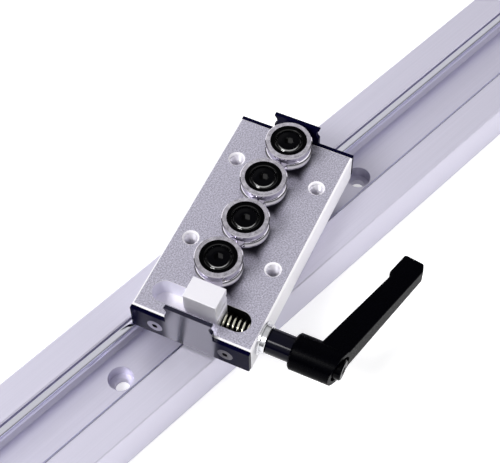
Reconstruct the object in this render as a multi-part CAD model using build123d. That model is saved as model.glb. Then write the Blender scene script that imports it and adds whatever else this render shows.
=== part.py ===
"""Linear guide rail with two inlaid shafts and a four-roller carriage that carries a clamp.

Units are millimetres. X runs along the rail, Y across it and Z up from the rail's base.
The carriage lies on the rail's flanges, rollers up and turned across the rail. Its own frame has x
across it towards the lever, y along it towards its far end and z up from the face that the rollers
stand on.
"""
from build123d import *
import math
import os

# Rail extrusion
rail_length = 400.0
rail_width = 45.0
rail_height = 20.0
rail_edge_chamfer = 0.4
floor_height = 8.4
foot_slope = 2.0
lip_over_shaft = 0.47
lip_thickness = 0.8
lip_chamfer = 0.4
relief_depth = 1.5
seat_wrap = 0.15

# Rail shafts
shaft_diameter = 6.0
shaft_depth = 5.1
shaft_seat_clearance = 0.01
shaft_end_chamfer = 0.4

# Rail mounting holes, counterbored for M5 cap screws
rail_hole_count = 4
rail_hole_end_margin = 15.5
rail_hole_diameter = 5.3
rail_counterbore_diameter = 9.4
rail_counterbore_depth = 5.4

# Track rollers
roller_count = 4
roller_gap = 1.4
roller_stagger = 0.8
roller_diameter = 17.0
roller_ring_width = 7.0
roller_bore = 5.0
roller_inner_width = 7.0
inner_ring_setback = 0.85
roller_groove_depth = 1.25
roller_groove_clearance = 0.05
roller_edge_chamfer = 0.3
roller_running_clearance = 0.02
inner_ring_diameter = 9.7
ring_land_diameter = 12.3
seal_seat_diameter = 13.4
seal_thickness = 0.6
seal_recess = 0.15
seal_lip_clearance = 0.05
seal_lip_chamfer = 0.25
ball_diameter = 2.0
ball_circle_diameter = 10.9
ball_row_spacing = 2.8
balls_per_row = 9
raceway_clearance = 0.03

# Roller axle bolts and spacers
axle_head_diameter = 8.8
axle_head_sink = 0.3
axle_head_dome = 0.15
axle_head_edge = 0.4
axle_head_rim_height = 0.3
axle_head_crown = 5.0
axle_socket_flats = 3.0
axle_socket_depth = 1.6
axle_reach = 11.5
axle_clearance = 0.02
spacer_thickness = 2.5
spacer_diameter = 8.0

# Carriage block
carriage_width = 45.0
block_thickness = 13.5
block_edge_chamfer = 0.6
mount_spacing_across = 32.0
mount_spacing_along = 38.0
mount_row_shift = -0.4
mount_thread_diameter = 5.0
mount_countersink = 0.6

# Clamp pocket
pocket_length = 37.0
pocket_shift_across = -0.3
pocket_width = 8.6
pocket_depth = 8.4
pocket_end_wall = 4.6
pocket_roller_gap = 2.4

# End plates
plate_thickness = 1.5
plate_base_lift = 1.4
plate_corner_chamfer = 0.5
plate_tongue_width = 17.8
plate_tongue_height = 8.9
wiper_clearance = 0.2
plate_roller_gap = 0.6
plate_screw_spacing = 26.8
plate_screw_drop = 6.9
plate_screw_head = 5.8
plate_screw_diameter = 3.0
plate_screw_length = 5.0
plate_screw_rim = 0.2
plate_screw_socket = 2.0
plate_screw_socket_depth = 1.1
plate_screw_clearance = 0.02

# Clamp jaw, stud, spring and washer
jaw_length = 12.4
jaw_height_above_face = 10.4
jaw_side_clearance = 0.1
jaw_floor_clearance = 0.2
jaw_foot_corner_radius = 1.0
jaw_edge_radius = 0.2
jaw_top_chamfer = 0.15
jaw_bite = 0.3
jaw_travel = 0.8
jaw_foot_reach = 0.3
jaw_foot_gap = 1.2
stud_diameter = 5.0
stud_drop = 4.95
stud_clearance = 0.05
stud_tail = 1.0
stud_end_chamfer = 0.5
spring_wire = 0.9
spring_diameter = 7.7
spring_coils = 8.25
spring_bore_clearance = 0.25
spring_end_clearance = 0.05
washer_thickness = 2.8
washer_diameter = 12.2
washer_step_thickness = 1.0
washer_step_diameter = 10.8
washer_edge_chamfer = 0.2

# Adjustable lever
insert_diameter = 9.3
insert_length = 9.0
insert_chamfer = 0.4
tooth_count = 16
tooth_depth = 0.7
tooth_length = 3.2
tooth_clearance = 0.06
neck_diameter = 5.6
neck_length = 2.2
web_thickness = 1.5
web_clearance = 0.15
hub_diameter = 13.3
hub_bevel = 0.7
hub_face_station = 28.7
face_slope_per_mm = 0.27
handle_well_diameter = 9.8
arm_reach = 49.2
arm_inner_start = 18.5
arm_inner_slope = 0.325
arm_bump_start = 38.6
arm_bump_end = 40.2
arm_bump_rise = 1.2
arm_tip_bevel = 1.9
arm_root_thickness = 11.0
arm_tip_thickness = 7.6
arm_edge_radius = 0.9
lift_travel = 3.5
lever_screw_diameter = 4.0
lever_screw_head_diameter = 7.6
lever_screw_head_height = 2.8
lever_screw_socket = 3.0
lever_screw_socket_depth = 1.6
lever_screw_grip = 10.1
lever_screw_engagement = 5.0
lever_spring_wire = 0.8
lever_spring_diameter = 8.6
lever_spring_coils = 6.4

# Where the carriage lies
carriage_at_x = 2.856
carriage_at_y = 2.165
carriage_yaw = 20.43

# Derived places on the rail
shaft_radius = shaft_diameter / 2
shaft_height = rail_height - shaft_depth
roller_radius = roller_diameter / 2
roller_contact_radius = roller_radius - roller_groove_depth
shaft_offset = roller_contact_radius + shaft_radius + roller_stagger + roller_running_clearance
seat_gap_half = shaft_offset - seat_wrap
lip_gap_half = shaft_offset - lip_over_shaft
rail_hole_pitch = (rail_length - 2 * rail_hole_end_margin) / (rail_hole_count - 1)

# Derived places in the carriage frame
roller_mid_height = spacer_thickness + roller_inner_width / 2
roller_top_height = spacer_thickness + roller_inner_width
roller_pitch = roller_diameter + roller_gap
roller_row_length = roller_pitch * (roller_count - 1)
pocket_to_end = plate_thickness + pocket_end_wall + pocket_width / 2
pocket_to_roller = pocket_width / 2 + pocket_roller_gap + roller_radius
roller_to_end = roller_radius + plate_roller_gap + plate_thickness
carriage_length = pocket_to_end + pocket_to_roller + roller_row_length + roller_to_end
block_length = carriage_length - 2 * plate_thickness
pocket_centre_along = pocket_to_end - carriage_length / 2
first_roller_along = pocket_centre_along + pocket_to_roller
mount_row_centre = first_roller_along + roller_row_length / 2 + mount_row_shift
stud_height = -stud_drop
jaw_face_x = shaft_offset - shaft_radius - jaw_travel + jaw_bite
jaw_back_x = jaw_face_x - jaw_length
jaw_foot_x = jaw_face_x + jaw_foot_reach
block_side_x = carriage_width / 2
insert_start_x = block_side_x + washer_thickness
hub_start_x = insert_start_x + insert_length
teeth_end_x = hub_start_x + tooth_length
web_start_x = teeth_end_x + web_clearance
web_end_x = web_start_x + web_thickness
screw_seat_x = teeth_end_x + neck_length
screw_head_x = screw_seat_x + lever_screw_grip
hub_face_x = block_side_x + hub_face_station

carriage_place = Location(
    (carriage_at_x, carriage_at_y, rail_height + block_thickness), (0, 0, carriage_yaw - 90)
)


def along_x(shape, x, y=0.0, z=0.0):
    """Turn a shape built up the z axis so that it runs along +x, and set it at a point."""
    return Location((x, y, z)) * Rotation(0, 90, 0) * shape


def rod(radius, length):
    """A plain round rod that stands on z = 0."""
    return Cylinder(radius, length, align=(Align.CENTER, Align.CENTER, Align.MIN))


def tube(outer, inner, length):
    """A plain ring that stands on z = 0."""
    return rod(outer, length) - rod(inner, length)


def hex_socket(flats, depth):
    """A hexagonal key socket whose mouth is at z = 0 and whose floor is at -depth."""
    outline = RegularPolygon(flats / math.sqrt(3), 6)
    return extrude(outline, -depth)


def revolved(points):
    """A body turned about the z axis from (radius, height) points."""
    face = make_face(Polyline(*[(r, 0, h) for r, h in points], close=True))
    return revolve(face, Axis.Z, 360)


def coil(wire, outer_diameter, coils, length):
    """A round-wire compression spring along z, from z = 0 to its length."""
    rise = length - wire
    path = Helix(rise / coils, rise, (outer_diameter - wire) / 2)
    section = Plane(origin=path @ 0, z_dir=path % 0) * Circle(wire / 2)
    return Location((0, 0, wire / 2)) * sweep(section, path=path, is_frenet=True)


def rail_section():
    """The rail's closed outline in the YZ plane, with the lips over the shafts and the sloped foot."""
    half = rail_width / 2
    lip = lip_gap_half
    relief = lip + relief_depth
    foot = seat_gap_half - foot_slope
    right = [
        (0, 0),
        (half - rail_edge_chamfer, 0),
        (half, rail_edge_chamfer),
        (half, rail_height - rail_edge_chamfer),
        (half - rail_edge_chamfer, rail_height),
        (lip + lip_chamfer, rail_height),
        (lip, rail_height - lip_chamfer),
        (lip, rail_height - lip_thickness),
        (relief, rail_height - lip_thickness),
        (relief, shaft_height),
        (seat_gap_half, shaft_height),
        (seat_gap_half, floor_height + foot_slope),
        (foot, floor_height),
        (0, floor_height),
    ]
    left = [(-y, z) for y, z in reversed(right[1:-1])]
    return Plane.YZ * make_face(Polyline(*right, *left, close=True))


def rail_hole_places():
    """The x positions of the floor holes, spread about the middle of the rail."""
    first = -rail_hole_pitch * (rail_hole_count - 1) / 2
    return [first + rail_hole_pitch * i for i in range(rail_hole_count)]


def make_rail():
    """The channel with its two shaft seats and its row of counterbored holes."""
    body = extrude(rail_section(), rail_length / 2, both=True)
    seat = along_x(rod(shaft_radius + shaft_seat_clearance, rail_length), -rail_length / 2)
    for side in (1, -1):
        body -= Location((0, side * shaft_offset, shaft_height)) * seat
    hole = rod(rail_hole_diameter / 2, floor_height)
    hole += Location((0, 0, floor_height - rail_counterbore_depth)) * rod(
        rail_counterbore_diameter / 2, rail_counterbore_depth
    )
    for x in rail_hole_places():
        body -= Location((x, 0, 0)) * hole
    return body


def make_shaft(side):
    """One hardened shaft, side +1 or -1 of the rail's middle."""
    body = rod(shaft_radius, rail_length)
    body = chamfer(body.edges().filter_by(GeomType.CIRCLE), shaft_end_chamfer)
    return along_x(body, -rail_length / 2, side * shaft_offset, shaft_height)


def roller_places():
    """The rollers' axes in the carriage frame, near end first, staggered from shaft to shaft."""
    return [
        ((-1) ** (i + 1) * roller_stagger, first_roller_along + roller_pitch * i)
        for i in range(roller_count)
    ]


def mount_places():
    """The four tapped holes that carry the load plate."""
    return [
        (sx * mount_spacing_across / 2, mount_row_centre + sy * mount_spacing_along / 2)
        for sx in (-1, 1)
        for sy in (-1, 1)
    ]


def plate_screw_places():
    """The end plate screws, as (x, outward direction along y)."""
    return [(sx * plate_screw_spacing / 2, end) for end in (-1, 1) for sx in (-1, 1)]


def end_screw_location(x, end):
    """A frame on an end plate's outer face whose z axis points out of the plate."""
    tilt = 90 if end < 0 else -90
    return Location((x, end * carriage_length / 2, -plate_screw_drop)) * Rotation(tilt, 0, 0)


def end_screw_profile(grow):
    """A countersunk screw's revolved body below z = 0, grown for a clearance cut."""
    head = plate_screw_head / 2 + grow
    shank = plate_screw_diameter / 2 + grow
    rim = -plate_screw_rim - grow
    tip = -plate_screw_length - grow
    return revolved(
        [(0, grow), (head, grow), (head, rim), (shank, rim + shank - head), (shank, tip), (0, tip)]
    )


def make_block():
    """The carriage body with its pocket, axle holes, mounting holes and spring bore."""
    body = Box(
        carriage_width, block_length, block_thickness, align=(Align.CENTER, Align.CENTER, Align.MAX)
    )
    rims = body.edges().filter_by(Axis.Y) + body.faces().sort_by(Axis.Z)[-1].edges().filter_by(Axis.X)
    body = chamfer(rims, block_edge_chamfer)
    pocket = Location((pocket_shift_across, pocket_centre_along, 0)) * extrude(
        SlotOverall(pocket_length, pocket_width), -pocket_depth
    )
    body -= pocket
    for x, y in roller_places():
        body -= Location((x, y, -block_thickness)) * rod(roller_bore / 2, block_thickness)
    thread = Location((0, 0, -block_thickness)) * rod(mount_thread_diameter / 2, block_thickness)
    sink = revolved(
        [
            (0, 0),
            (mount_thread_diameter / 2 + mount_countersink, 0),
            (mount_thread_diameter / 2, -mount_countersink),
            (0, -mount_countersink),
        ]
    )
    lower_sink = Location((0, 0, -block_thickness)) * Rotation(180, 0, 0) * sink
    for x, y in mount_places():
        body -= Location((x, y, 0)) * (thread + sink + lower_sink)
    spring_way = rod(spring_diameter / 2 + spring_bore_clearance, block_side_x)
    body -= along_x(spring_way, 0, pocket_centre_along, stud_height)
    for x, end in plate_screw_places():
        body -= end_screw_location(x, end) * end_screw_profile(plate_screw_clearance)
    return body


def make_end_plate(end):
    """A black end plate, end -1 near or +1 far, whose tongue clears both shafts."""
    half = carriage_width / 2
    tongue = plate_tongue_width / 2
    low = -block_thickness + plate_base_lift
    cut = plate_corner_chamfer
    outline = [
        (-half + cut, low),
        (half - cut, low),
        (half, low + cut),
        (half, -block_edge_chamfer),
        (tongue, -block_edge_chamfer),
        (tongue, plate_tongue_height),
        (-tongue, plate_tongue_height),
        (-tongue, -block_edge_chamfer),
        (-half, -block_edge_chamfer),
        (-half, low + cut),
    ]
    face = Plane.XZ * make_face(Polyline(*outline, close=True))
    notch = Circle(shaft_radius + wiper_clearance)
    for side in (1, -1):
        face -= Plane.XZ * Location((side * shaft_offset, roller_mid_height)) * notch
    body = Location((0, carriage_length / 2, 0)) * extrude(face, plate_thickness)
    if end < 0:
        body = Rotation(0, 0, 180) * body
    for x, side in plate_screw_places():
        if side == end:
            body -= end_screw_location(x, end) * end_screw_profile(plate_screw_clearance)
    return body


def make_end_plate_screws():
    """The four countersunk screws of the end plates."""
    socket = hex_socket(plate_screw_socket, plate_screw_socket_depth)
    body = end_screw_profile(0) - socket
    return [end_screw_location(x, end) * body for x, end in plate_screw_places()]


def make_outer_ring():
    """A track roller's outer ring about the z axis, its middle plane at z = 0."""
    half = roller_ring_width / 2
    seat = seal_recess + seal_thickness
    cut = roller_edge_chamfer
    body = revolved(
        [
            (ring_land_diameter / 2, -half + seat),
            (seal_seat_diameter / 2, -half + seat),
            (seal_seat_diameter / 2, -half),
            (roller_radius - cut, -half),
            (roller_radius, -half + cut),
            (roller_radius, half - cut),
            (roller_radius - cut, half),
            (seal_seat_diameter / 2, half),
            (seal_seat_diameter / 2, half - seat),
            (ring_land_diameter / 2, half - seat),
        ]
    )
    groove_radius = shaft_radius + roller_groove_clearance
    body -= Torus(roller_contact_radius + groove_radius, groove_radius)
    return body - raceways()


def raceways():
    """The two ball tracks that are cut into both rings."""
    track = Torus(ball_circle_diameter / 2, ball_diameter / 2 + raceway_clearance)
    up = Location((0, 0, ball_row_spacing / 2)) * track
    down = Location((0, 0, -ball_row_spacing / 2)) * track
    return up + down


def make_inner_ring():
    """The inner ring, its upper face set back, with the conical seat of the axle bolt's head."""
    ring = rod(inner_ring_diameter / 2, roller_inner_width - inner_ring_setback)
    ring -= Location((0, 0, -spacer_thickness)) * axle_bolt_profile(axle_clearance)
    return Location((0, 0, -roller_inner_width / 2)) * ring - raceways()


def make_balls():
    """Both rows of balls, the upper row set half a step round from the lower one."""
    balls = []
    step = 360 / balls_per_row
    for row, height in enumerate((-ball_row_spacing / 2, ball_row_spacing / 2)):
        for i in range(balls_per_row):
            place = Rotation(0, 0, step * (i + row / 2)) * Location((ball_circle_diameter / 2, 0, height))
            balls.append(place * Sphere(ball_diameter / 2))
    return balls


def make_seal(side):
    """A ring seal pressed into the outer ring, its lip bevelled outside, side +1 upper or -1 lower."""
    inner = inner_ring_diameter / 2 + seal_lip_clearance
    outer = seal_seat_diameter / 2
    bevel = seal_lip_chamfer
    outside = side * (roller_ring_width / 2 - seal_recess)
    inside = outside - side * seal_thickness
    return revolved(
        [
            (inner, inside),
            (outer, inside),
            (outer, outside),
            (inner + bevel, outside),
            (inner, outside - side * bevel),
        ]
    )


def axle_bolt_profile(grow):
    """An axle bolt's revolved body above z = -axle_reach; a grown one cuts its seat and way out."""
    head = axle_head_diameter / 2 + grow
    shank = roller_bore / 2 + grow
    top = roller_top_height - axle_head_sink
    shoulder = top - axle_head_dome
    rim = shoulder - axle_head_edge
    cone = rim - axle_head_rim_height
    crown = axle_head_crown / 2
    if grow > 0:
        upper = [(head, roller_top_height + grow), (0, roller_top_height + grow)]
    else:
        upper = [(head, rim), (head - axle_head_edge, shoulder), (crown, top), (0, top)]
    return revolved(
        [(0, -axle_reach), (shank, -axle_reach), (shank, cone + shank - head), (head, cone), *upper]
    )


def make_axle_bolt():
    """A low-head bolt whose cone sits in the inner ring and whose edge stands free of it."""
    top = roller_top_height - axle_head_sink
    return axle_bolt_profile(0) - Location((0, 0, top)) * hex_socket(axle_socket_flats, axle_socket_depth)


def make_spacer():
    """The washer that lifts a roller off the block."""
    return tube(spacer_diameter / 2, roller_bore / 2 + axle_clearance, spacer_thickness)


def make_jaw():
    """The sliding clamp jaw, grooved on its right side for the shaft."""
    width = pocket_width - 2 * jaw_side_clearance
    floor = -pocket_depth + jaw_floor_clearance
    foot_top = roller_mid_height - shaft_radius - jaw_foot_gap
    upper_length = jaw_length
    lower_length = jaw_length + jaw_foot_reach
    outline = Rectangle(lower_length, width, align=(Align.MIN, Align.CENTER))
    body = extrude(outline, foot_top - floor)
    body = fillet(body.edges().filter_by(Axis.Z), jaw_foot_corner_radius)
    body = Location((jaw_back_x, 0, floor)) * body
    upper = Box(
        upper_length,
        width,
        jaw_height_above_face - foot_top,
        align=(Align.MIN, Align.CENTER, Align.MIN),
    )
    upper = fillet(upper.edges().filter_by(Axis.Z), jaw_edge_radius)
    upper = chamfer(upper.faces().sort_by(Axis.Z)[-1].edges(), jaw_top_chamfer)
    body += Location((jaw_back_x, 0, foot_top)) * upper
    groove_x = shaft_offset - jaw_travel
    groove = Rotation(90, 0, 0) * rod(shaft_radius + roller_groove_clearance, 2 * width)
    body -= Location((groove_x, width, roller_mid_height)) * groove
    stud_way = rod(stud_diameter / 2 + stud_clearance, 2 * lower_length)
    body -= along_x(stud_way, jaw_back_x, 0, stud_height)
    return Location((0, pocket_centre_along, 0)) * body


def make_clamp_spring():
    """The spring between the jaw's foot and the washer, in the bore from the block's side."""
    start = jaw_foot_x + spring_end_clearance
    length = block_side_x - spring_end_clearance - start
    body = coil(spring_wire, spring_diameter, spring_coils, length)
    return along_x(body, start, pocket_centre_along, stud_height)


def make_stud():
    """The threaded stud from the jaw's back into the lever insert."""
    start = jaw_back_x + stud_tail
    length = insert_start_x + insert_length / 2 - start
    body = rod(stud_diameter / 2, length)
    body = chamfer(body.edges().filter_by(GeomType.CIRCLE).sort_by(Axis.Z)[0], stud_end_chamfer)
    return along_x(body, start, pocket_centre_along, stud_height)


def make_washer():
    """The stepped washer between the block's side and the lever, its wide step on the block."""
    bore = stud_diameter / 2 + stud_clearance
    wide = tube(washer_diameter / 2, bore, washer_step_thickness)
    wide = chamfer(wide.edges().filter_by(GeomType.CIRCLE).sort_by(SortBy.RADIUS)[-2:], washer_edge_chamfer)
    body = wide + tube(washer_step_diameter / 2, bore, washer_thickness)
    body = chamfer(body.faces().sort_by(Axis.Z)[-1].outer_wire().edges(), washer_edge_chamfer)
    return along_x(body, block_side_x, pocket_centre_along, stud_height)


def toothed_outline(tip_radius):
    """The outline of the index teeth, with flat-topped teeth of one depth."""
    points = []
    for i in range(tooth_count):
        for share, radius in ((0, 0), (0.25, 0), (0.5, tooth_depth), (0.75, tooth_depth)):
            angle = 2 * math.pi * (i + share) / tooth_count
            r = tip_radius - tooth_depth + radius
            points.append((r * math.cos(angle), r * math.sin(angle)))
    return make_face(Polyline(*points, close=True))


def make_insert():
    """The steel insert: a plain barrel, the index teeth and a neck tapped for the lever screw."""
    barrel = rod(insert_diameter / 2, insert_length)
    barrel = chamfer(barrel.edges().filter_by(GeomType.CIRCLE).sort_by(Axis.Z)[0], insert_chamfer)
    teeth = extrude(toothed_outline(insert_diameter / 2), tooth_length)
    body = barrel + Location((0, 0, insert_length)) * teeth
    neck = rod(neck_diameter / 2, neck_length)
    body += Location((0, 0, insert_length + tooth_length)) * neck
    body -= rod(stud_diameter / 2, insert_length / 2)
    end = insert_length + tooth_length + neck_length
    body -= Location((0, 0, end - lever_screw_engagement)) * rod(
        lever_screw_diameter / 2, lever_screw_engagement
    )
    return along_x(body, insert_start_x, pocket_centre_along, stud_height)


def face_station(reach):
    """How far out the handle's outer face is at a reach along the arm."""
    return hub_face_x + face_slope_per_mm * reach


def arm_outline():
    """The arm's outline in the plane of the stud axis (x) and the reach (y)."""
    inner = block_side_x + arm_inner_start
    tip_y = arm_reach
    bump_x = inner + arm_inner_slope * arm_bump_end - arm_bump_rise
    bump_tip_x = bump_x + face_slope_per_mm * (tip_y - arm_bump_end)
    return Polyline(
        (inner, 0),
        (inner + arm_inner_slope * arm_bump_start, arm_bump_start),
        (bump_x, arm_bump_end),
        (bump_tip_x, tip_y),
        (face_station(tip_y) - arm_tip_bevel, tip_y - arm_tip_bevel / 2),
        (face_station(tip_y - 2 * arm_tip_bevel), tip_y - 2 * arm_tip_bevel),
        (face_station(0), 0),
        close=True,
    )


def make_handle():
    """The black lever handle: a hub round the index teeth and an inclined arm."""
    side_outline = make_face(arm_outline())
    arm = extrude(side_outline, arm_root_thickness / 2, both=True)
    root = arm_root_thickness / 2
    tip = arm_tip_thickness / 2
    plan = Plane.YZ * make_face(
        Polyline((0, -root), (arm_reach, -tip), (arm_reach, tip), (0, root), close=True)
    )
    arm &= extrude(plan, 2 * hub_face_x)
    arm = fillet(arm.edges().filter_by(lambda e: e.center().Y > hub_diameter / 2), arm_edge_radius)
    hub_length = face_station(hub_diameter / 2) - hub_start_x
    hub = rod(hub_diameter / 2, hub_length)
    hub = chamfer(hub.edges().filter_by(GeomType.CIRCLE).sort_by(Axis.Z)[0], hub_bevel)
    hub = along_x(hub, hub_start_x)
    half = hub_diameter
    keep = extrude(
        make_face(
            Polyline(
                (0, -half), (face_station(-half), -half), (face_station(half), half), (0, half), close=True
            )
        ),
        half,
        both=True,
    )
    body = (hub & keep) + arm
    grip = extrude(toothed_outline(insert_diameter / 2 + tooth_clearance), tooth_length + web_clearance)
    body -= along_x(grip, hub_start_x)
    body -= along_x(rod(neck_diameter / 2 + web_clearance, web_thickness), web_start_x)
    body -= along_x(rod(handle_well_diameter / 2, hub_diameter + arm_reach), web_end_x)
    return Location((0, pocket_centre_along, stud_height)) * body


def make_lever_screw():
    """The screw that holds the handle and its spring on the insert."""
    head = rod(lever_screw_head_diameter / 2, lever_screw_head_height)
    head = chamfer(head.edges().filter_by(GeomType.CIRCLE).sort_by(Axis.Z)[-1], insert_chamfer)
    head -= Location((0, 0, lever_screw_head_height)) * hex_socket(
        lever_screw_socket, lever_screw_socket_depth
    )
    shank_length = lever_screw_grip + lever_screw_engagement
    body = head + Location((0, 0, -shank_length)) * rod(lever_screw_diameter / 2, shank_length)
    return along_x(body, screw_head_x, pocket_centre_along, stud_height)


def make_lever_spring():
    """The spring between the handle's web and the lever screw's head."""
    start = web_end_x + spring_end_clearance
    length = screw_head_x - spring_end_clearance - start
    body = coil(lever_spring_wire, lever_spring_diameter, lever_spring_coils, length)
    return along_x(body, start, pocket_centre_along, stud_height)


def save(name, solids):
    """Write one node's solids to its STEP file."""
    solids = list(solids) if isinstance(solids, (list, tuple)) else [solids]
    pieces = [s for shape in solids for s in shape.solids()]
    shape = pieces[0] if len(pieces) == 1 else Compound(children=pieces)
    export_step(shape, os.path.join("parts", name + ".step"))


def save_on_carriage(name, solids):
    """Write a node that is built in the carriage frame."""
    solids = solids if isinstance(solids, list) else [solids]
    save(name, [carriage_place * s for s in solids])


def main():
    """Build every piece and write it."""
    os.makedirs("parts", exist_ok=True)
    save("rail_extrusion", make_rail())
    save("far_shaft", make_shaft(1))
    save("near_shaft", make_shaft(-1))

    save_on_carriage("carriage_block", make_block())
    save_on_carriage("near_end_plate", make_end_plate(-1))
    save_on_carriage("far_end_plate", make_end_plate(1))
    save_on_carriage("end_plate_screws", make_end_plate_screws())
    places = roller_places()
    save_on_carriage("axle_bolts", [Location((x, y, 0)) * make_axle_bolt() for x, y in places])
    save_on_carriage("roller_spacers", [Location((x, y, 0)) * make_spacer() for x, y in places])

    ring, inner, balls = make_outer_ring(), make_inner_ring(), make_balls()
    for number, (x, y) in enumerate(places, start=1):
        place = Location((x, y, roller_mid_height))
        save_on_carriage(f"roller_{number}_outer_ring", place * ring)
        save_on_carriage(f"roller_{number}_inner_ring", place * inner)
        save_on_carriage(f"roller_{number}_balls", [place * ball for ball in balls])
        save_on_carriage(f"roller_{number}_upper_seal", place * make_seal(1))
        save_on_carriage(f"roller_{number}_lower_seal", place * make_seal(-1))

    save_on_carriage("clamp_jaw", make_jaw())
    save_on_carriage("clamp_spring", make_clamp_spring())
    save_on_carriage("clamp_stud", make_stud())
    save_on_carriage("clamp_washer", make_washer())
    save_on_carriage("lever_insert", make_insert())
    save_on_carriage("lever_handle", make_handle())
    save_on_carriage("lever_screw", make_lever_screw())
    save_on_carriage("lever_spring", make_lever_spring())


main()
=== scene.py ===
"""Looks for the linear guide rail and the upturned roller carriage that lies on it.

Lengths are in metres, in the frame of the CAD model: X along the rail, Y across it, Z up.
The carriage has a frame of its own, in millimetres: x towards the lever, y towards its far end, z up
from the face that the rollers stand on.
"""
from __future__ import annotations

import logging
import math
from dataclasses import dataclass, field
from enum import Enum
from typing import Callable, Sequence

import bmesh
import bpy
from mathutils import Matrix, Vector

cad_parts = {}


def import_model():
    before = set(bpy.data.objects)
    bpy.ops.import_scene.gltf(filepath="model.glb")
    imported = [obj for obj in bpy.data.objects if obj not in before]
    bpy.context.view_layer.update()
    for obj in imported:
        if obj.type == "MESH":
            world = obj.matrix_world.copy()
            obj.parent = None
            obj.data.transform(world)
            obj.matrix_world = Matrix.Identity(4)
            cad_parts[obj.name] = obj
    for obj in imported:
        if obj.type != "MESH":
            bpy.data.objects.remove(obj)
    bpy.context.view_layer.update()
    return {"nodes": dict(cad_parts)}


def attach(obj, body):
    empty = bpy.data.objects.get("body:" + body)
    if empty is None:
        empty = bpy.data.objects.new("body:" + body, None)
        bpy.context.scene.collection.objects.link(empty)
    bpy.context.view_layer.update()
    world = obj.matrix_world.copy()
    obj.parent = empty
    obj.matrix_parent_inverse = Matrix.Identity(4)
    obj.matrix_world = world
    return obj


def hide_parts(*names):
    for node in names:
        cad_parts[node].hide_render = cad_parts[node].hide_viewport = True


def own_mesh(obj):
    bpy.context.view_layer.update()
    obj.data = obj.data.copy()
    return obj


LOG = logging.getLogger("guide_rail")
MM = 0.001
Colour = tuple[float, float, float]
Point = tuple[float, float, float]
# What a node's input takes: a value to set or a socket to link.
Feed = float | Point | tuple[float, float, float, float] | bpy.types.NodeSocket
NodesByName = dict[str, bpy.types.Object]


class Body(Enum):
    """The rigid bodies that the added pieces ride on."""

    CARRIAGE = "carriage"
    HANDLE = "handle"


class NodeGroupName(Enum):
    """The shared shader effects."""

    FINE_BLAST = "fine_blast"
    DRAWN_LINES = "drawn_lines"
    HANDLING_SMUDGE = "handling_smudge"
    LEVEL_FACES = "level_faces"
    CARRIAGE_ZONE = "carriage_zone"


def srgb(red: float, green: float, blue: float) -> Colour:
    """Turn a colour as it is seen on a screen into linear light.

    Args:
        red: Red, 0 to 255.
        green: Green, 0 to 255.
        blue: Blue, 0 to 255.

    Returns:
        The linear colour.
    """

    def one(value: float) -> float:
        """Turn one channel into linear light."""
        share = value / 255
        return share / 12.92 if share <= 0.04045 else ((share + 0.055) / 1.055) ** 2.4

    return one(red), one(green), one(blue)


def grey(value: float) -> Colour:
    """Give a linear grey for a screen grey of 0 to 255."""
    return srgb(value, value, value)


@dataclass(frozen=True)
class CarriageFrame:
    """The carriage's own frame: x towards the lever, y towards its far end, z up from its face.

    Attributes:
        at_mm: Its origin.
        yaw_deg: How far it is turned about Z.
    """

    at_mm: Point = (2.856, 2.165, 33.5)
    yaw_deg: float = -69.57

    def matrix(self) -> Matrix:
        """Give the frame as a matrix in metres."""
        turn = Matrix.Rotation(math.radians(self.yaw_deg), 4, "Z")
        return Matrix.Translation(Vector(self.at_mm) * MM) @ turn

    def point(self, x: float, y: float, z: float) -> Vector:
        """Turn a point of the carriage, in millimetres, into the row frame in metres."""
        return self.matrix() @ (Vector((x, y, z)) * MM)


CARRIAGE = CarriageFrame()
# Where the rollers stand, and where the stud's line crosses, in the carriage's frame.
ROLLER_PLACES = tuple(((-0.8, 0.8)[i % 2], -20.1 + 18.4 * i) for i in range(4))
STUD_LINE = (-35.3, -4.95)


def add_node(
    tree: bpy.types.NodeTree,
    kind: str,
    feeds: dict[str | int, Feed] | None = None,
    **settings: str,
) -> bpy.types.Node:
    """Add a shader node, set it up and feed its inputs.

    Args:
        tree: The node tree.
        kind: The node's type.
        feeds: What its inputs get, by name or number: a socket to link or a value to set.
        **settings: The node's own settings, such as its operation.

    Returns:
        The node.
    """
    node = tree.nodes.new(kind)
    for setting, choice in settings.items():
        setattr(node, setting, choice)
    for key, feed in (feeds or {}).items():
        if isinstance(feed, bpy.types.NodeSocket):
            tree.links.new(feed, node.inputs[key])
        else:
            node.inputs[key].default_value = feed
    return node


def calculate(tree: bpy.types.NodeTree, operation: str, *values: Feed) -> bpy.types.NodeSocket:
    """Add a math node.

    Args:
        tree: The node tree.
        operation: What it calculates.
        *values: Its inputs in order.

    Returns:
        Its result.
    """
    feeds = dict(enumerate(values))
    return add_node(tree, "ShaderNodeMath", feeds, operation=operation).outputs["Value"]


def mix_colours(
    tree: bpy.types.NodeTree, mask: bpy.types.NodeSocket, outside: Feed, inside: Feed
) -> bpy.types.NodeSocket:
    """Mix two colours by a mask.

    Args:
        tree: The node tree.
        mask: The mask.
        outside: The colour where the mask is 0.
        inside: The colour where the mask is 1.

    Returns:
        The mixed colour.
    """
    feeds = {"Factor": mask, "A": outside, "B": inside}
    return add_node(tree, "ShaderNodeMix", feeds, data_type="RGBA").outputs["Result"]


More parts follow.
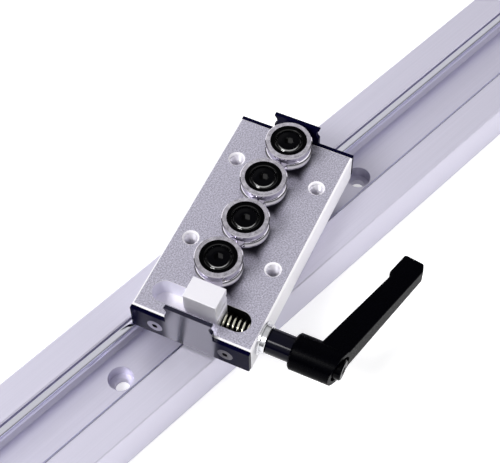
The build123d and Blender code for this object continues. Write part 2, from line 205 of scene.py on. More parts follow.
class ShaderKit:
    """Builds the shared node groups once and places them in materials.

    Attributes:
        LINE_STRETCH: How much the drawn lines are stretched along X.
        SPARK_FROM: Where in the grain the sparkle starts.
        SPARK_TO: Where in the grain the sparkle is full.
    """

    LINE_STRETCH = 0.012
    SPARK_FROM = 0.38
    SPARK_TO = 0.62

    def __init__(self) -> None:
        """Start with no groups built."""
        self._groups: dict[NodeGroupName, bpy.types.NodeTree] = {}

    def group(self, name: NodeGroupName) -> bpy.types.NodeTree:
        """Give a shared effect, building it the first time.

        Args:
            name: The effect.

        Returns:
            Its node group.
        """
        if name not in self._groups:
            makers: dict[NodeGroupName, Callable[[bpy.types.NodeTree], None]] = {
                NodeGroupName.FINE_BLAST: self._fine_blast,
                NodeGroupName.DRAWN_LINES: self._drawn_lines,
                NodeGroupName.HANDLING_SMUDGE: self._handling_smudge,
                NodeGroupName.LEVEL_FACES: self._level_faces,
                NodeGroupName.CARRIAGE_ZONE: self._carriage_zone,
            }
            tree = bpy.data.node_groups.new(name.value, "ShaderNodeTree")
            makers[name](tree)
            self._groups[name] = tree
        return self._groups[name]

    @staticmethod
    def _ends(
        tree: bpy.types.NodeTree, inputs: dict[str, float | None], outputs: tuple[str, ...] = ("Mask",)
    ) -> tuple[bpy.types.Node, bpy.types.Node]:
        """Give a group its named sockets and the two nodes that stand for them.

        Args:
            tree: The group.
            inputs: The inputs' defaults by name, where None makes an input that takes a point.
            outputs: The outputs' names.

        Returns:
            The node with the inputs and the node with the outputs.
        """
        for name, default in inputs.items():
            kind = "NodeSocketVector" if default is None else "NodeSocketFloat"
            socket = tree.interface.new_socket(name=name, in_out="INPUT", socket_type=kind)
            if default is not None:
                socket.default_value = default
        for name in outputs:
            tree.interface.new_socket(name=name, in_out="OUTPUT", socket_type="NodeSocketFloat")
        return tree.nodes.new("NodeGroupInput"), tree.nodes.new("NodeGroupOutput")

    def _fine_blast(self, tree: bpy.types.NodeTree) -> None:
        """Fill a group with a fine blasted grain: a height and a sparkle mask.

        Args:
            tree: The group.
        """
        enter, leave = self._ends(tree, {"Grain Size": 2500.0, "Sparkle": 0.5}, ("Height", "Mask"))
        place = add_node(tree, "ShaderNodeTexCoord").outputs["Object"]
        noise = {"Vector": place, "Scale": enter.outputs["Grain Size"], "Detail": 2.0}
        grain = add_node(tree, "ShaderNodeTexNoise", noise).outputs["Fac"]
        span = {"Value": grain, "From Min": self.SPARK_FROM, "From Max": self.SPARK_TO}
        spark = add_node(tree, "ShaderNodeMapRange", span).outputs["Result"]
        mask = calculate(tree, "MULTIPLY", spark, enter.outputs["Sparkle"])
        tree.links.new(grain, leave.inputs["Height"])
        tree.links.new(mask, leave.inputs["Mask"])

    def _drawn_lines(self, tree: bpy.types.NodeTree) -> None:
        """Fill a group with faint lines along X, as an extrusion or a drawn rod has.

        Args:
            tree: The group.
        """
        enter, leave = self._ends(tree, {"Line Density": 900.0, "Strength": 1.0})
        place = add_node(tree, "ShaderNodeTexCoord").outputs["Object"]
        stretch = {"Vector": place, "Scale": (self.LINE_STRETCH, 1.0, 1.0)}
        along = add_node(tree, "ShaderNodeMapping", stretch).outputs["Vector"]
        noise = {"Vector": along, "Scale": enter.outputs["Line Density"], "Detail": 3.0}
        lines = add_node(tree, "ShaderNodeTexNoise", noise).outputs["Fac"]
        mask = calculate(tree, "MULTIPLY", lines, enter.outputs["Strength"])
        tree.links.new(mask, leave.inputs["Mask"])

    def _handling_smudge(self, tree: bpy.types.NodeTree) -> None:
        """Fill a group with broad soft patches that vary gloss a little, as handled parts have.

        Args:
            tree: The group.
        """
        enter, leave = self._ends(tree, {"Patch Size": 60.0, "Strength": 1.0})
        place = add_node(tree, "ShaderNodeTexCoord").outputs["Object"]
        noise = {"Vector": place, "Scale": enter.outputs["Patch Size"], "Detail": 4.0, "Roughness": 0.6}
        patches = add_node(tree, "ShaderNodeTexNoise", noise).outputs["Fac"]
        mask = calculate(tree, "MULTIPLY", patches, enter.outputs["Strength"])
        tree.links.new(mask, leave.inputs["Mask"])

    def _level_faces(self, tree: bpy.types.NodeTree) -> None:
        """Fill a group with a mask that is 1 on level surfaces and 0 on upright sides.

        Args:
            tree: The group.
        """
        enter, leave = self._ends(tree, {"Edge": 0.85})
        normal = add_node(tree, "ShaderNodeTexCoord").outputs["Normal"]
        split = add_node(tree, "ShaderNodeSeparateXYZ", {"Vector": normal})
        upward = calculate(tree, "ABSOLUTE", split.outputs["Z"])
        mask = calculate(tree, "GREATER_THAN", upward, enter.outputs["Edge"])
        tree.links.new(mask, leave.inputs["Mask"])

    def _carriage_zone(self, tree: bpy.types.NodeTree) -> None:
        """Fill a group with a mask that is 1 inside a box square to the carriage, soft at its rim.

        Args:
            tree: The group.
        """
        enter, leave = self._ends(tree, {"Centre": None, "Half Size": None, "Softness": 0.0002})
        turn = {
            "Vector": add_node(tree, "ShaderNodeTexCoord").outputs["Object"],
            "Center": enter.outputs["Centre"],
            "Angle": math.radians(-CARRIAGE.yaw_deg),
        }
        square = add_node(tree, "ShaderNodeVectorRotate", turn, rotation_type="Z_AXIS").outputs["Vector"]
        pair = {0: square, 1: enter.outputs["Centre"]}
        away = add_node(tree, "ShaderNodeVectorMath", pair, operation="SUBTRACT").outputs["Vector"]
        size = add_node(tree, "ShaderNodeVectorMath", {0: away}, operation="ABSOLUTE").outputs["Vector"]
        pair = {0: enter.outputs["Half Size"], 1: size}
        room = add_node(tree, "ShaderNodeVectorMath", pair, operation="SUBTRACT").outputs["Vector"]
        split = add_node(tree, "ShaderNodeSeparateXYZ", {"Vector": room})
        least = calculate(tree, "MINIMUM", split.outputs["X"], split.outputs["Y"])
        least = calculate(tree, "MINIMUM", least, split.outputs["Z"])
        rim = {"Value": least, "From Min": 0.0, "From Max": enter.outputs["Softness"]}
        soft = add_node(tree, "ShaderNodeMapRange", rim, interpolation_type="SMOOTHSTEP")
        tree.links.new(soft.outputs["Result"], leave.inputs["Mask"])

    def place(
        self, tree: bpy.types.NodeTree, name: NodeGroupName, values: dict[str, float | Point]
    ) -> bpy.types.Node:
        """Place a shared effect in a material with that material's own values.

        Args:
            tree: The material's node tree.
            name: The effect.
            values: Input values by socket name.

        Returns:
            The placed group node.
        """
        node = tree.nodes.new("ShaderNodeGroup")
        node.node_tree = self.group(name)
        for socket, value in values.items():
            node.inputs[socket].default_value = value
        return node


@dataclass(frozen=True)
class SideLook:
    """How a finish differs on a piece's upright sides; on the block and the rings it paints the sides
    lighter, and on the seals and axle bolts it paints highlights on them.

    Attributes:
        colour: Linear base colour.
        metallic: 0 for plastic or paint, 1 for bare metal.
        roughness: Roughness.
    """

    colour: Colour
    metallic: float
    roughness: float


@dataclass(frozen=True)
class Zone:
    """A box, square to the carriage, in which a finish looks different.

    Attributes:
        centre_mm: Its middle in the carriage's frame.
        half_mm: Half its size along the carriage's axes.
        softness: Width of its soft rim in metres.
        colour: Linear base colour inside it, or None where the zone only bounds a coat.
    """

    centre_mm: Point
    half_mm: Point
    softness: float
    colour: Colour | None = None

    def mask(self, kit: ShaderKit, tree: bpy.types.NodeTree) -> bpy.types.NodeSocket:
        """Place the zone's mask in a material.

        Args:
            kit: The shared effects.
            tree: The material's node tree.

        Returns:
            The mask's socket.
        """
        values = {
            "Centre": tuple(CARRIAGE.point(*self.centre_mm)),
            "Half Size": tuple(c * MM for c in self.half_mm),
            "Softness": self.softness,
        }
        return kit.place(tree, NodeGroupName.CARRIAGE_ZONE, values).outputs["Mask"]


def painted_roller_shadow(x: float, y: float) -> Zone:
    """Give the painted shadow, a soft dark patch on the block beside a roller that stands at x and y."""
    return Zone((x + 1.9, y - 1.7, 0.0), (8.5, 8.3, 4.5), 0.004, srgb(44, 41, 54))


@dataclass(frozen=True)
class Finish:
    """A finish and the material that it makes.

    Attributes:
        name: The material's name.
        colour: Linear base colour.
        variation: Linear colour at the other end of the surface's slight variation.
        metallic: 0 for plastic or paint, 1 for bare metal.
        roughness: Middle roughness.
        roughness_spread: How far the roughness varies either way.
        effect: The shared effect that drives the variation.
        effect_values: That effect's own values.
        bump: Bump strength, 0 for none.
        bump_distance: Bump distance in metres.
        coat: Coat weight.
        coat_roughness: Roughness of the coat.
        specular: Specular level for finishes that aren't metal.
        side: How the upright sides differ, which paints light or highlights on some finishes, or None.
        zones: Where the colour differs; on the block these are painted shade and painted light.
        coat_zone: Where the coat lies, or None for everywhere.
    """

    name: str
    colour: Colour
    variation: Colour
    metallic: float
    roughness: float
    roughness_spread: float
    effect: NodeGroupName = NodeGroupName.HANDLING_SMUDGE
    effect_values: tuple[tuple[str, float], ...] = ()
    bump: float = 0.0
    bump_distance: float = 0.0001
    coat: float = 0.0
    coat_roughness: float = 0.2
    specular: float = 0.5
    side: SideLook | None = None
    zones: tuple[Zone, ...] = ()
    coat_zone: Zone | None = None

    def material(self, kit: ShaderKit) -> bpy.types.Material:
        """Make the material, or give it if it is made already.

        Args:
            kit: The shared effects.

        Returns:
            The material.
        """
        found = bpy.data.materials.get(self.name)
        if found is not None:
            return found
        made = bpy.data.materials.new(self.name)
        made.use_nodes = True
        tree = made.node_tree
        shader = tree.nodes["Principled BSDF"]
        shader.inputs["Metallic"].default_value = self.metallic
        shader.inputs["Specular IOR Level"].default_value = self.specular
        shader.inputs["Coat Weight"].default_value = self.coat
        shader.inputs["Coat Roughness"].default_value = self.coat_roughness
        effect = kit.place(tree, self.effect, dict(self.effect_values))
        mask = effect.outputs["Mask"]
        colour = mix_colours(tree, mask, (*self.colour, 1.0), (*self.variation, 1.0))
        span = {
            "Value": mask,
            "To Min": self.roughness - self.roughness_spread,
            "To Max": self.roughness + self.roughness_spread,
        }
        rough = add_node(tree, "ShaderNodeMapRange", span).outputs["Result"]
        if self.side is not None:
            colour, rough = self._part_sides(kit, tree, colour, rough)
        for zone in self.zones:
            colour = mix_colours(tree, zone.mask(kit, tree), colour, (*zone.colour, 1.0))
        if self.coat_zone is not None:
            layer = calculate(tree, "MULTIPLY", self.coat_zone.mask(kit, tree), self.coat)
            tree.links.new(layer, shader.inputs["Coat Weight"])
        tree.links.new(colour, shader.inputs["Base Color"])
        tree.links.new(rough, shader.inputs["Roughness"])
        if self.bump > 0:
            height = effect.outputs["Height" if "Height" in effect.outputs else "Mask"]
            relief = {"Strength": self.bump, "Distance": self.bump_distance, "Height": height}
            bump = add_node(tree, "ShaderNodeBump", relief)
            tree.links.new(bump.outputs["Normal"], shader.inputs["Normal"])
        return made

    def _part_sides(
        self,
        kit: ShaderKit,
        tree: bpy.types.NodeTree,
        colour: bpy.types.NodeSocket,
        rough: bpy.types.NodeSocket,
    ) -> tuple[bpy.types.NodeSocket, bpy.types.NodeSocket]:
        """Give the upright sides their own colour, metallic share and roughness, which paints light or
        highlights on the sides of some finishes.

        Args:
            kit: The shared effects.
            tree: The material's node tree.
            colour: The level surfaces' colour.
            rough: The level surfaces' roughness.

        Returns:
            The colour and the roughness of the whole surface.
        """
        level = kit.place(tree, NodeGroupName.LEVEL_FACES, {}).outputs["Mask"]
        tint = mix_colours(tree, level, (*self.side.colour, 1.0), colour)
        span = {"Value": level, "To Min": self.side.metallic, "To Max": self.metallic}
        metal = add_node(tree, "ShaderNodeMapRange", span)
        tree.links.new(metal.outputs["Result"], tree.nodes["Principled BSDF"].inputs["Metallic"])
        pair = {"Factor": level, "A": self.side.roughness, "B": rough}
        return tint, add_node(tree, "ShaderNodeMix", pair).outputs["Result"]


RAIL_ANODISED = Finish(
    "rail_anodised_satin", srgb(212, 209, 227), srgb(224, 221, 238),
    metallic=0.6, roughness=0.4, roughness_spread=0.05,
    effect=NodeGroupName.DRAWN_LINES, effect_values=(("Line Density", 1400.0), ("Strength", 1.0)),
    bump=0.05, bump_distance=0.00005,
    side=SideLook(srgb(212, 209, 226), metallic=0.45, roughness=0.4),
)
SHAFT_POLISHED = Finish(
    "shaft_polished_steel", srgb(238, 238, 254), srgb(246, 246, 255),
    metallic=1.0, roughness=0.08, roughness_spread=0.03,
    effect=NodeGroupName.DRAWN_LINES, effect_values=(("Line Density", 2500.0), ("Strength", 1.0)),
)
BLOCK_BLASTED_PAINTED_LIGHT = Finish(
    "block_fine_blasted_painted_light", srgb(157, 154, 170), srgb(209, 206, 222),
    metallic=0.5, roughness=0.36, roughness_spread=0.08,
    effect=NodeGroupName.FINE_BLAST, effect_values=(("Grain Size", 2000.0), ("Sparkle", 0.9)),
    bump=0.25, bump_distance=0.00006,
    # Painted light: the block's upright sides, its pocket walls among them, are painted near white as if
    # lit from the side.
    side=SideLook(srgb(252, 250, 255), metallic=0.0, roughness=0.35),
    zones=(
        # Painted shade: the pocket's right end, round the spring, is painted near black where the jaw
        # shades it.
        Zone((11.0, -35.3, -6.1), (9.9, 5.6, 5.95), 0.0003, srgb(5, 5, 7)),
        # Painted light: the pocket's left walls and, below them, its floor are painted near white where
        # shade would fall.
        Zone((-13.0, -35.3, -4.3), (8.5, 5.2, 4.0), 0.0002, srgb(238, 236, 250)),
        Zone((-13.0, -35.3, -10.0), (8.5, 5.2, 1.8), 0.0002, srgb(252, 250, 255)),
        # Painted shadows beside the four rollers.
        *(painted_roller_shadow(x, y) for x, y in ROLLER_PLACES),
    ),
)
PLATE_GLOSS = Finish(
    "plate_gloss_navy_black", srgb(1, 1, 22), srgb(3, 2, 38),
    metallic=0.0, roughness=0.16, roughness_spread=0.05, specular=0.02,
    coat=0.85, coat_zone=Zone((0.5, -47.0, -2.0), (11.5, 6.0, 16.0), 0.004),
)
RING_GROUND_PAINTED_LIT_SIDES = Finish(
    "ring_ground_face_painted_lit_sides", srgb(92, 88, 100), srgb(232, 228, 238),
    metallic=1.0, roughness=0.22, roughness_spread=0.08,
    effect_values=(("Patch Size", 420.0), ("Strength", 1.15)),
    # Painted light: the rings' upright sides get a brighter colour than their faces, so that they look
    # lit.
    side=SideLook(srgb(224, 220, 231), metallic=1.0, roughness=0.05),
)
SEAL_RUBBER_PAINTED_GLINT = Finish(
    "seal_satin_black_painted_glint", srgb(0, 0, 1), srgb(2, 2, 3),
    metallic=0.0, roughness=0.3, roughness_spread=0.08, specular=0.02,
    # Painted highlight: the seal's upright walls are dark grey metal so that they show faint glints.
    side=SideLook(grey(58), metallic=1.0, roughness=0.15),
)
BOLT_BLACK = Finish(
    "bolt_black_finish", srgb(0, 0, 2), srgb(2, 2, 5),
    metallic=0.0, roughness=0.12, roughness_spread=0.05, specular=0.04,
)
AXLE_BLACK_PAINTED_GLINT = Finish(
    "axle_black_painted_edge_highlight", srgb(0, 0, 2), srgb(2, 2, 5),
    metallic=0.0, roughness=0.12, roughness_spread=0.05, specular=0.04,
    # Painted highlight: the head's upright edges and socket walls are bright metal so that they show as
    # glints.
    side=SideLook(grey(190), metallic=1.0, roughness=0.1),
)
INSERT_BLACK = Finish(
    "insert_black_steel", srgb(1, 1, 12), srgb(3, 3, 22),
    metallic=0.0, roughness=0.1, roughness_spread=0.03, specular=0.14,
)
SCREW_STEEL = Finish(
    "screw_plated_steel", srgb(66, 65, 72), srgb(98, 96, 104),
    metallic=1.0, roughness=0.26, roughness_spread=0.08,
)
STEEL_BRIGHT = Finish(
    "steel_bright_plate", srgb(214, 214, 218), srgb(226, 226, 230),
    metallic=1.0, roughness=0.2, roughness_spread=0.06,
)
JAW_BRIGHT = Finish(
    "jaw_bright_satin", srgb(244, 242, 254), srgb(252, 250, 255),
    metallic=0.5, roughness=0.35, roughness_spread=0.05,
)
SPRING_WIRE = Finish(
    "spring_bright_wire", srgb(226, 224, 204), srgb(238, 236, 220),
    metallic=1.0, roughness=0.18, roughness_spread=0.05,
)
THREAD_BARE = Finish(
    "thread_bare_metal", srgb(240, 238, 246), srgb(250, 248, 255),
    metallic=0.7, roughness=0.3, roughness_spread=0.06,
)
HANDLE_COAT = Finish(
    "handle_black_coat", srgb(0, 0, 2), srgb(2, 2, 6),
    metallic=0.0, roughness=0.32, roughness_spread=0.08, specular=0.02,
    effect=NodeGroupName.FINE_BLAST, effect_values=(("Grain Size", 1800.0), ("Sparkle", 0.5)),
    bump=0.1, bump_distance=0.00005,
)


@dataclass(frozen=True)
class HelixSweep:
    """A closed section swept along a screw line about the z axis, from z = 0 up to the length.

    Attributes:
        section: The section's (radius, height) points in millimetres, round the path's own height.
        turns: How many turns.
        length: How far the path rises, in millimetres.
        closed_turns: The share of a turn at each end that rises only by close_pitch per turn.
        close_pitch: Rise per turn of the closed ends, in millimetres.
        steps: Steps in one turn.
    """

    section: tuple[tuple[float, float], ...]
    turns: float
    length: float
    closed_turns: float = 0.0
    close_pitch: float = 0.0
    steps: int = 48

    def height(self, turn: float) -> float:
        """Give the path's height at a number of turns.

        Args:
            turn: Turns from the path's start.

        Returns:
            The height in millimetres.
        """
        if self.closed_turns == 0:
            return self.length * turn / self.turns
        ends = self.closed_turns * self.close_pitch
        if turn <= self.closed_turns:
            return turn * self.close_pitch
        if turn >= self.turns - self.closed_turns:
            return self.length - (self.turns - turn) * self.close_pitch
        share = (turn - self.closed_turns) / (self.turns - 2 * self.closed_turns)
        return ends + share * (self.length - 2 * ends)

    def build(self, name: str, place: Matrix) -> bpy.types.Object:
        """Make the piece.

        Args:
            name: The piece's name.
            place: Where its axis stands, as a matrix in metres.

        Returns:
            The piece.
        """
        mesh = bpy.data.meshes.new(name)
        count = round(self.turns * self.steps)
        sides = len(self.section)
        points: list[Vector] = []
        for i in range(count + 1):
            turn = self.turns * i / count
            angle = 2 * math.pi * turn
            base = self.height(turn)
            for radius, rise in self.section:
                spot = Vector((radius * math.cos(angle), radius * math.sin(angle), base + rise))
                points.append(place @ (spot * MM))
        first_cap = tuple(range(sides))
        last_cap = tuple(reversed(range(count * sides, (count + 1) * sides)))
        faces: list[tuple[int, ...]] = [first_cap, last_cap]
        for i in range(count):
            here, there = i * sides, (i + 1) * sides
            for k in range(sides):
                beside = (k + 1) % sides
                faces.append((here + beside, here + k, there + k, there + beside))
        mesh.from_pydata(points, [], faces)
        tidy = bmesh.new()
        tidy.from_mesh(mesh)
        bmesh.ops.recalc_face_normals(tidy, faces=tidy.faces)
        tidy.to_mesh(mesh)
        tidy.free()
        piece = bpy.data.objects.new(name, mesh)
        bpy.context.collection.objects.link(piece)
        return piece


@dataclass(frozen=True)
class CoilSpring:
    """A coil spring with closed ends that lies on the stud's line.

    Attributes:
        start: Where it starts on the line, in millimetres from the carriage's origin.
        end: Where it ends.
        diameter: Its outer diameter in millimetres.
        wire: Its wire's diameter.
        turns: How many turns it has.
        closed_turns: How much of a turn is closed at each end.
        close_share: Rise per turn of the closed ends, as a share of the wire's diameter.
        sides: How many sides stand for the round wire.
        steps: Steps in one turn.
    """

    start: float
    end: float
    diameter: float
    wire: float
    turns: float
    closed_turns: float
    close_share: float = 1.02
    sides: int = 14
    steps: int = 40

    def section(self) -> tuple[tuple[float, float], ...]:
        """Give the wire's section.

        Returns:
            The section's (radius, height) points in millimetres.
        """
        middle, half = (self.diameter - self.wire) / 2, self.wire / 2
        angles = [2 * math.pi * k / self.sides for k in range(self.sides)]
        return tuple((middle + half * math.cos(a), half * math.sin(a)) for a in angles)

    def build(self, name: str) -> bpy.types.Object:
        """Make the spring, with smooth faces.

        Args:
            name: The piece's name.

        Returns:
            The piece.
        """
        length = self.end - self.start - self.wire
        pitch = self.wire * self.close_share
        sweep = HelixSweep(self.section(), self.turns, length, self.closed_turns, pitch, self.steps)
        lay = Matrix.Rotation(math.radians(90), 4, "Y")
        first = Vector((self.start + self.wire / 2, *STUD_LINE)) * MM
        spring = sweep.build(name, CARRIAGE.matrix() @ Matrix.Translation(first) @ lay)
        for face in spring.data.polygons:
            face.use_smooth = True
        return spring

    def kept(self, travel: float) -> float:
        """Give the share of its length that is left when it is pressed by a travel in millimetres."""
        return 1 - travel / (self.end - self.start)


def dress(obj: bpy.types.Object, material: bpy.types.Material) -> None:
    """Give a piece one material in every slot.

    Args:
        obj: The piece.
        material: Its material.
    """
    if not obj.material_slots:
        obj.data.materials.append(material)
    for slot in obj.material_slots:
        slot.material = material
    LOG.info("dressed %s as %s", obj.name, material.name)


def dress_nodes(nodes: NodesByName, finishes: dict[str, Finish], kit: ShaderKit) -> None:
    """Dress CAD nodes in their finishes.

    Args:
        nodes: The CAD nodes by name.
        finishes: The finishes by the nodes' names.
        kit: The shared effects.
    """
    for name, finish in finishes.items():
        dress(nodes[name], finish.material(kit))


@dataclass
class Rail:
    """The channel and its two shafts.

    Attributes:
        finishes: The finishes of its CAD nodes.
    """

    finishes: dict[str, Finish] = field(
        default_factory=lambda: {
            "rail_extrusion": RAIL_ANODISED,
            "far_shaft": SHAFT_POLISHED,
            "near_shaft": SHAFT_POLISHED,
        }
    )

    def build(self, nodes: NodesByName, kit: ShaderKit) -> None:
        """Dress the rail's CAD nodes."""
        dress_nodes(nodes, self.finishes, kit)


@dataclass
class Carriage:
    """The block, its end plates, screws, bolts, spacers, rollers and clamp.

    Attributes:
        thread_places: Where the tapped holes stand, as (x, y) in the carriage's frame.
        thread_root: The thread's outer radius in millimetres.
        thread_crest: Its inner radius.
        thread_pitch: Its rise per turn.
        thread_start: Height of its lower end.
        thread_depth: Depth of the tapped hole.
        spring: The clamp spring.
        jaw_stroke: How far the jaw comes out, in millimetres.
        finishes: The finishes of the single CAD nodes.
        roller_finishes: The finishes of each roller's CAD nodes.
    """

    thread_places: tuple[tuple[float, float], ...] = ((-16, 26.1), (16, 26.1), (-16, -11.9), (16, -11.9))
    thread_root: float = 2.49
    thread_crest: float = 2.1
    thread_pitch: float = 0.8
    thread_start: float = -12.9
    thread_depth: float = 12.3
    spring: CoilSpring = CoilSpring(7.92, 22.45, diameter=7.7, wire=0.9, turns=8.25, closed_turns=0.7)
    jaw_stroke: float = 0.81
    finishes: dict[str, Finish] = field(
        default_factory=lambda: {
            "carriage_block": BLOCK_BLASTED_PAINTED_LIGHT,
            "near_end_plate": PLATE_GLOSS,
            "far_end_plate": PLATE_GLOSS,
            "end_plate_screws": SCREW_STEEL,
            "axle_bolts": AXLE_BLACK_PAINTED_GLINT,
            "roller_spacers": STEEL_BRIGHT,
            "clamp_jaw": JAW_BRIGHT,
            "clamp_spring": SPRING_WIRE,
            "clamp_stud": BOLT_BLACK,
            "clamp_washer": STEEL_BRIGHT,
        }
    )
    roller_finishes: dict[str, Finish] = field(
        default_factory=lambda: {
            "outer_ring": RING_GROUND_PAINTED_LIT_SIDES,
            "inner_ring": BOLT_BLACK,
            "balls": STEEL_BRIGHT,
            "upper_seal": SEAL_RUBBER_PAINTED_GLINT,
            "lower_seal": SEAL_RUBBER_PAINTED_GLINT,
        }
    )

    def build(self, nodes: NodesByName, kit: ShaderKit) -> None:
        """Dress the carriage's CAD nodes and add its threads and its spring.

        Args:
            nodes: The CAD nodes by name.
            kit: The shared effects.
        """
        dress_nodes(nodes, self.finishes, kit)
        for number in range(1, len(ROLLER_PLACES) + 1):
            finishes = {f"roller_{number}_{piece}": look for piece, look in self.roller_finishes.items()}
            dress_nodes(nodes, finishes, kit)
        self._threads(kit)
        self._spring(kit)

    def _threads(self, kit: ShaderKit) -> None:
        """Put the screw threads into the four tapped holes.

        Args:
            kit: The shared effects.
        """
        turns = (self.thread_depth - self.thread_pitch) / self.thread_pitch
        half = self.thread_pitch / 2
        section = ((self.thread_root, -half), (self.thread_crest, 0.0), (self.thread_root, half))
        sweep = HelixSweep(section, turns, turns * self.thread_pitch)
        for number, (x, y) in enumerate(self.thread_places, start=1):
            start = CARRIAGE.matrix() @ Matrix.Translation(Vector((x, y, self.thread_start)) * MM)
            thread = sweep.build(f"mount_thread_{number}", start)
            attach(thread, Body.CARRIAGE.value)
            dress(thread, THREAD_BARE.material(kit))

    def _spring(self, kit: ShaderKit) -> None:
        """Put in the clamp spring.

        Args:
            kit: The shared effects.
        """
        spring = self.spring.build("clamp_spring_coil")
        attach(spring, Body.CARRIAGE.value)
        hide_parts("clamp_spring")
        dress(spring, SPRING_WIRE.material(kit))
        keep = self.spring.kept(self.jaw_stroke)
        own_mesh(spring)


@dataclass
class Lever:
    """The adjustable lever: insert, handle, screw and spring.

    Attributes:
        spring: The lever spring.
        lift: How far the handle is lifted, in millimetres.
        finishes: The finishes of its CAD nodes.
    """

    spring: CoilSpring = CoilSpring(39.2, 49.75, diameter=8.6, wire=0.8, turns=6.4, closed_turns=0.8)
    lift: float = 3.5
    finishes: dict[str, Finish] = field(
        default_factory=lambda: {
            "lever_insert": INSERT_BLACK,
            "lever_handle": HANDLE_COAT,
            "lever_screw": BOLT_BLACK,
            "lever_spring": SPRING_WIRE,
        }
    )

    def build(self, nodes: NodesByName, kit: ShaderKit) -> None:
        """Dress the lever's CAD nodes and add its spring."""
        dress_nodes(nodes, self.finishes, kit)
        self._spring(kit)

    def _spring(self, kit: ShaderKit) -> None:
        """Put in the lever spring.

        Args:
            kit: The shared effects.
        """
        spring = self.spring.build("lever_spring_coil")
        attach(spring, Body.HANDLE.value)
        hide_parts("lever_spring")
        dress(spring, SPRING_WIRE.material(kit))
        keep = self.spring.kept(self.lift)
        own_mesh(spring)


@dataclass
class PhotoCamera:
    """The camera that looks as the photograph does.

    Attributes:
        place_mm: Where it stands.
        right: Its right as a unit vector.
        up: Its up as a unit vector.
        forward: Where it looks, as a unit vector.
        focal_px: Its focal length in pixels.
        width_px: The picture's width in pixels.
        sensor_mm: Its sensor's width.
        clip_near: Nearest distance that it shows, in metres.
        clip_far: Farthest distance that it shows, in metres.
    """

    place_mm: Point = (-162.218, -174.084, 400.932)
    right: Point = (0.7126066, -0.7014536, -0.0124367)
    up: Point = (0.5923739, 0.5921057, 0.5463551)
    forward: Point = (0.3758789, 0.3967035, -0.8374613)
    focal_px: float = 1237.77
    width_px: float = 500.0
    sensor_mm: float = 36.0
    clip_near: float = 0.01
    clip_far: float = 50.0

    def build(self) -> None:
        """Make the camera and set it as the scene's."""
        data = bpy.data.cameras.new("photo_camera")
        data.sensor_fit = "HORIZONTAL"
        data.sensor_width = self.sensor_mm
        data.lens = self.focal_px / self.width_px * self.sensor_mm
        data.clip_start = self.clip_near
        data.clip_end = self.clip_far
        camera = bpy.data.objects.new("photo_camera", data)
        bpy.context.collection.objects.link(camera)
        axes = Matrix((self.right, self.up, tuple(-c for c in self.forward))).transposed()
        place = Vector(self.place_mm) * MM
        camera.matrix_world = Matrix.Translation(place) @ axes.to_4x4()
        bpy.context.scene.camera = camera


@dataclass(frozen=True)
class SoftLamp:
    """A square soft lamp aimed at the object.

    Attributes:
        name: The lamp's name.
        direction: Where it hangs, seen from the object.
        distance: How far off it hangs.
        size: Side length.
        radiance: How bright it looks, where 1 is a white surface.
        mirrored: Whether glossy surfaces show it.
    """

    name: str
    direction: Point
    distance: float
    size: float
    radiance: float
    mirrored: bool = True

    def hang(self) -> None:
        """Make the lamp and aim it."""
        data = bpy.data.lights.new(self.name, "AREA")
        data.shape = "SQUARE"
        data.size = self.size
        data.energy = self.radiance * math.pi * self.size ** 2
        lamp = bpy.data.objects.new(self.name, data)
        place = Vector(self.direction).normalized() * self.distance
        lamp.location = place
        lamp.rotation_euler = (-place).to_track_quat("-Z", "Y").to_euler()
        lamp.visible_glossy = self.mirrored
        bpy.context.collection.objects.link(lamp)


LAMPS = (
    SoftLamp("left_softbox", (-0.62, 0.12, 0.77), distance=1.4, size=0.5, radiance=17.0),
    SoftLamp("back_softbox", (0.30, 0.75, 0.60), distance=1.4, size=0.9, radiance=0.7),
    SoftLamp("front_fill", (0.75, -0.78, 0.25), distance=1.4, size=0.9, radiance=4.6, mirrored=False),
)


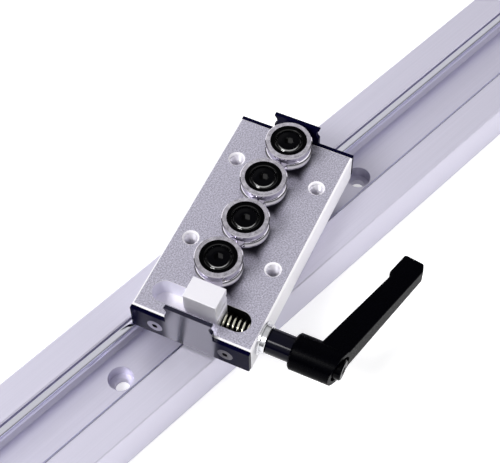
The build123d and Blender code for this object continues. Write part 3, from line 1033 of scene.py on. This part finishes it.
@dataclass
class Studio:
    """The floor, the world and the lamps.

    Attributes:
        floor_half: Half the floor's side.
        floor_drop: How far the floor lies below the object, so that the two don't share a plane.
        floor_colour: The floor's colour.
        floor_lift: How much the floor glows for the camera.
        floor_gloss_lift: How much it glows in reflections.
        world_strength: The world's light on matt surfaces.
        horizon_strength: Its brightness near the horizon in reflections.
        overhead_strength: Its brightness overhead in reflections.
        horizon_top: Height on the unit sphere up to which the horizon's brightness holds.
        overhead_from: Height on the unit sphere from which the brightness overhead holds.
    """

    floor_half: float = 3.0
    floor_drop: float = 0.0002
    floor_colour: Colour = (0.86, 0.86, 0.86)
    floor_lift: float = 0.5
    floor_gloss_lift: float = 0.35
    world_strength: float = 0.4
    horizon_strength: float = 0.06
    overhead_strength: float = 0.62
    horizon_top: float = 0.1
    overhead_from: float = 0.5

    def build(self) -> None:
        """Make the floor, the world and the lamps."""
        self._floor()
        self._world()
        for lamp in LAMPS:
            lamp.hang()

    def _floor(self) -> None:
        """Lay a plain white floor that keeps the shadow."""
        mesh = bpy.data.meshes.new("studio_floor")
        half = self.floor_half
        corners = [(-half, -half, 0), (half, -half, 0), (half, half, 0), (-half, half, 0)]
        mesh.from_pydata(corners, [], [(0, 1, 2, 3)])
        floor = bpy.data.objects.new("studio_floor", mesh)
        floor.location.z = -self.floor_drop
        bpy.context.collection.objects.link(floor)
        material = bpy.data.materials.new("studio_floor")
        material.use_nodes = True
        tree = material.node_tree
        shader = tree.nodes["Principled BSDF"]
        shader.inputs["Base Color"].default_value = (*self.floor_colour, 1.0)
        shader.inputs["Roughness"].default_value = 1.0
        shader.inputs["Specular IOR Level"].default_value = 0.0
        shader.inputs["Emission Color"].default_value = (1.0, 1.0, 1.0, 1.0)
        path = add_node(tree, "ShaderNodeLightPath").outputs
        lift = calculate(tree, "MULTIPLY", path["Is Camera Ray"], self.floor_lift)
        glow = calculate(tree, "MULTIPLY_ADD", path["Is Glossy Ray"], self.floor_gloss_lift, lift)
        tree.links.new(glow, shader.inputs["Emission Strength"])
        mesh.materials.append(material)

    def _world(self) -> None:
        """Make a world that is white to the camera and has a dark horizon in reflections."""
        world = bpy.data.worlds.new("studio_world")
        bpy.context.scene.world = world
        world.use_nodes = True
        tree = world.node_tree
        back = tree.nodes["Background"]
        back.inputs["Color"].default_value = (1.0, 1.0, 1.0, 1.0)
        path = add_node(tree, "ShaderNodeLightPath").outputs
        where = add_node(tree, "ShaderNodeTexCoord").outputs["Generated"]
        span = {
            "Value": add_node(tree, "ShaderNodeSeparateXYZ", {"Vector": where}).outputs["Z"],
            "From Min": self.horizon_top,
            "From Max": self.overhead_from,
            "To Min": self.horizon_strength,
            "To Max": self.overhead_strength,
        }
        sky = add_node(tree, "ShaderNodeMapRange", span, interpolation_type="SMOOTHSTEP")
        pair = {"Factor": path["Is Glossy Ray"], "A": self.world_strength, "B": sky.outputs["Result"]}
        unseen = add_node(tree, "ShaderNodeMix", pair)
        pair = {"Factor": path["Is Camera Ray"], "A": unseen.outputs["Result"], "B": 1.0}
        level = add_node(tree, "ShaderNodeMix", pair)
        tree.links.new(level.outputs["Result"], back.inputs["Strength"])


def main() -> None:
    """Load the frame, dress every piece and set up the studio."""
    logging.basicConfig(level=logging.INFO, format="%(name)s %(message)s")
    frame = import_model()
    nodes = frame["nodes"]
    kit = ShaderKit()
    bpy.context.scene.view_settings.view_transform = "Standard"
    PhotoCamera().build()
    Rail().build(nodes, kit)
    Carriage().build(nodes, kit)
    Lever().build(nodes, kit)
    Studio().build()


if __name__ == "__main__":
    main()
